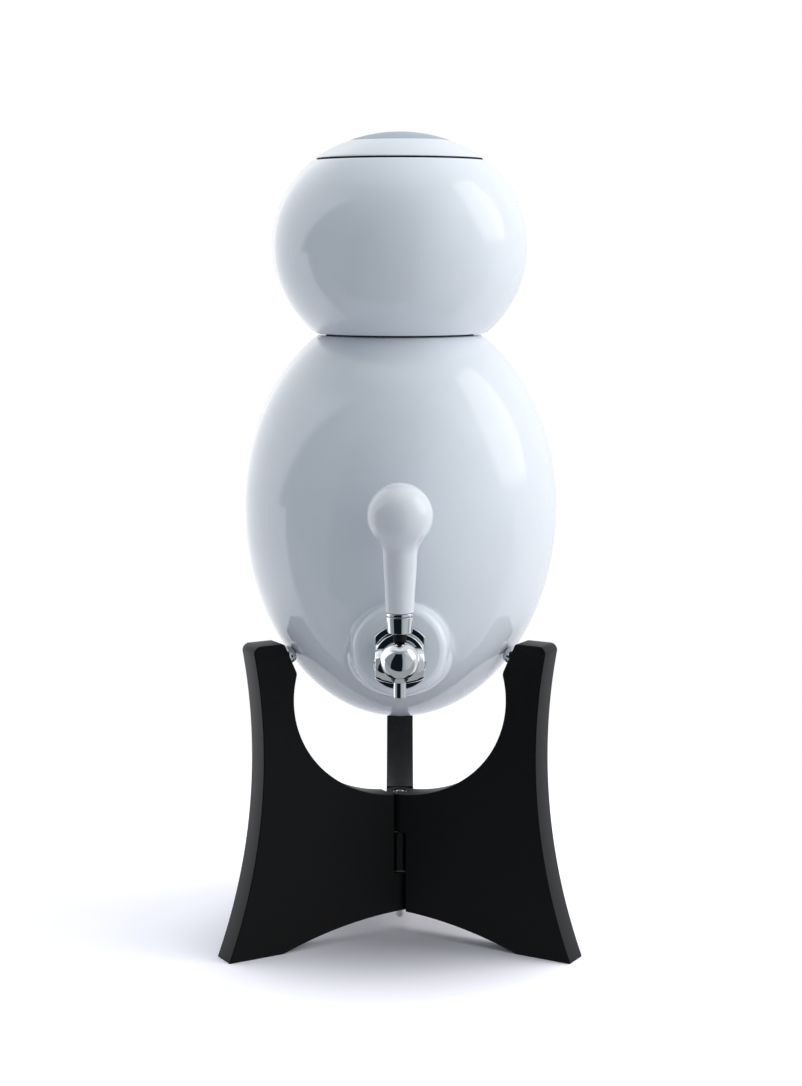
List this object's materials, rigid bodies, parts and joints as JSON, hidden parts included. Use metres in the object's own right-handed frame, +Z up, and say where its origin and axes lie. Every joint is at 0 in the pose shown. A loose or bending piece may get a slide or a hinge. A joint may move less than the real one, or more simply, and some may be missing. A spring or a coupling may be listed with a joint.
{
  "type": "water dispenser",
  "caption": "Gravity water dispenser: an egg-shaped lower vessel with a lever tap, a round upper vessel with a filter, a domed lid and a folding wooden stand.",
  "frame": {"origin": "centre of the bounding box at the underside of the feet; the vessels' and hinge's upright axis passes 12.6 mm behind it, at x 0, y 0.0126 m", "axes": "+Z up, -Y to the front where the tap is, +X to the right of a person facing the tap"},
  "size_m": [0.3028, 0.3615, 0.6764],
  "materials": {
    "porcelain": "clear gloss glaze on bluish white porcelain",
    "handle_glaze": "soft gloss glaze",
    "black_wood": "satin black lacquer over plywood with grain at the edges",
    "chrome": "polished chrome plate",
    "steel": "turned stainless steel",
    "grey_silicone": "satin grey-blue silicone",
    "dark_silicone": "black moulded rubber",
    "white_plastic": "moulded white plastic",
    "carbon": "pressed activated carbon block"
  },
  "bodies": {
    "stand": {"leg_back": "black_wood", "hinge_pin": "steel", "hinge_cap_nut": "steel", "hinge_washer_lower": "white_plastic", "hinge_washer_upper": "white_plastic", "bumper_cup_back": "chrome", "bumper_tip_back": "grey_silicone", "bumper_screw_back": "steel"},
    "left_leg": {"leg_left": "black_wood", "bumper_cup_left": "chrome", "bumper_tip_left": "grey_silicone", "bumper_screw_left": "steel"},
    "right_leg": {"leg_right": "black_wood", "bumper_cup_right": "chrome", "bumper_tip_right": "grey_silicone", "bumper_screw_right": "steel"},
    "lower_tank": {"lower_vessel": "porcelain", "neck_gasket": "dark_silicone", "tap_body": "chrome", "tap_outer_gasket": "dark_silicone", "tap_inner_gasket": "dark_silicone", "tap_lock_nut": "chrome", "spout_tube": "chrome", "lever_pivot_pin": "steel"},
    "tap_lever": {"lever_stem": "chrome", "lever_seal": "dark_silicone", "lever_ferrule": "chrome", "lever_ferrule_ring": "chrome", "lever_handle": "handle_glaze"},
    "valve_plunger": {"plunger_plate": "steel", "plunger_rod": "steel", "valve_washer": "dark_silicone"},
    "upper_tank": {"upper_vessel": "porcelain", "lid_seal": "dark_silicone", "filter_housing": "white_plastic", "filter_media": "carbon", "filter_cap": "white_plastic", "filter_gasket": "dark_silicone", "filter_wing_nut": "white_plastic"},
    "lid_cover": {"lid": "porcelain", "lid_inlay": "grey_silicone"}
  },
  "joints": [
    {"name": "left_leg_swing", "type": "hinge", "parent": "stand", "child": "left_leg", "pos_m": [0, 0.0126, 0.07], "axis": [0, 0, 1], "range_deg": [-30, 15]},
    {"name": "right_leg_swing", "type": "hinge", "parent": "stand", "child": "right_leg", "pos_m": [0, 0.0126, 0.07], "axis": [0, 0, 1], "range_deg": [-15, 30]},
    {"name": "lower_tank_lift", "type": "slide", "parent": "stand", "child": "lower_tank", "axis": [0, 0, 1], "range_m": [0, 0.12]},
    {"name": "tap_lever_pull", "type": "hinge", "parent": "lower_tank", "child": "tap_lever", "pos_m": [0, -0.1554, 0.26852], "axis": [1, 0, 0], "range_deg": [0, 15]},
    {"name": "valve_plunger_slide", "type": "slide", "parent": "lower_tank", "child": "valve_plunger", "axis": [0, 1, 0], "range_m": [0, 0.0016]},
    {"name": "upper_tank_lift", "type": "slide", "parent": "lower_tank", "child": "upper_tank", "axis": [0, 0, 1], "range_m": [0, 0.08]},
    {"name": "lid_lift", "type": "slide", "parent": "upper_tank", "child": "lid_cover", "axis": [0, 0, 1], "range_m": [0, 0.06]}
  ],
  "couplings": [
    {"joint": "valve_plunger_slide", "follows": "tap_lever_pull", "m_per_rad": 0.006}
  ]
}
